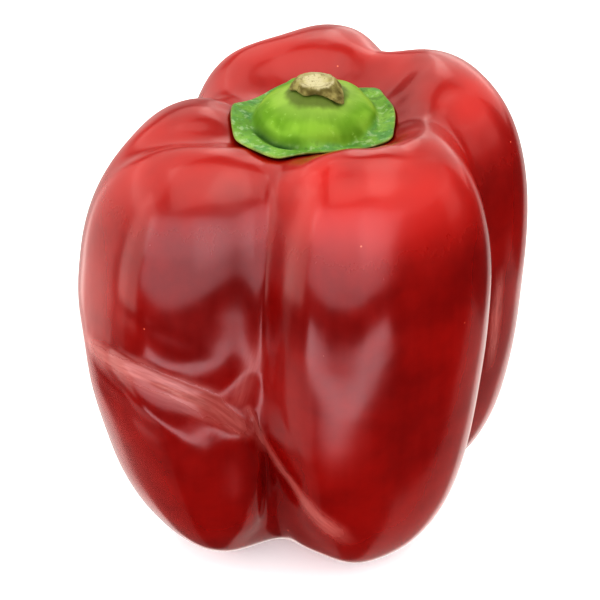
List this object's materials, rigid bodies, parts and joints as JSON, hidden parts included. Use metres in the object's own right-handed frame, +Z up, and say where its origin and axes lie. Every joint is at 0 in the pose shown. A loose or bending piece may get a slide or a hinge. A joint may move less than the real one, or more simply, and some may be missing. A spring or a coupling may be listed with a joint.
{
  "type": "bell pepper",
  "caption": "Whole red bell pepper, blocky and lobed, standing on its lobe ends, with a green calyx and a dry cut stem on top.",
  "frame": {"origin": "on the floor, under the middle of the pepper's bounding box", "axes": "+Z up along the stem; -Y is the front, where the two large lobes lie side by side; +X is to the right seen from the front"},
  "size_m": [0.0902, 0.0842, 0.1017],
  "materials": {
    "red_skin": "smooth waxy skin, glossy deep red",
    "green_calyx": "satin fresh green, mottled with grey-green",
    "dry_stem": "dull corky tan"
  },
  "bodies": {
    "root": {"flesh": "red_skin", "calyx": "green_calyx", "stem_end": "dry_stem"}
  },
  "joints": []
}
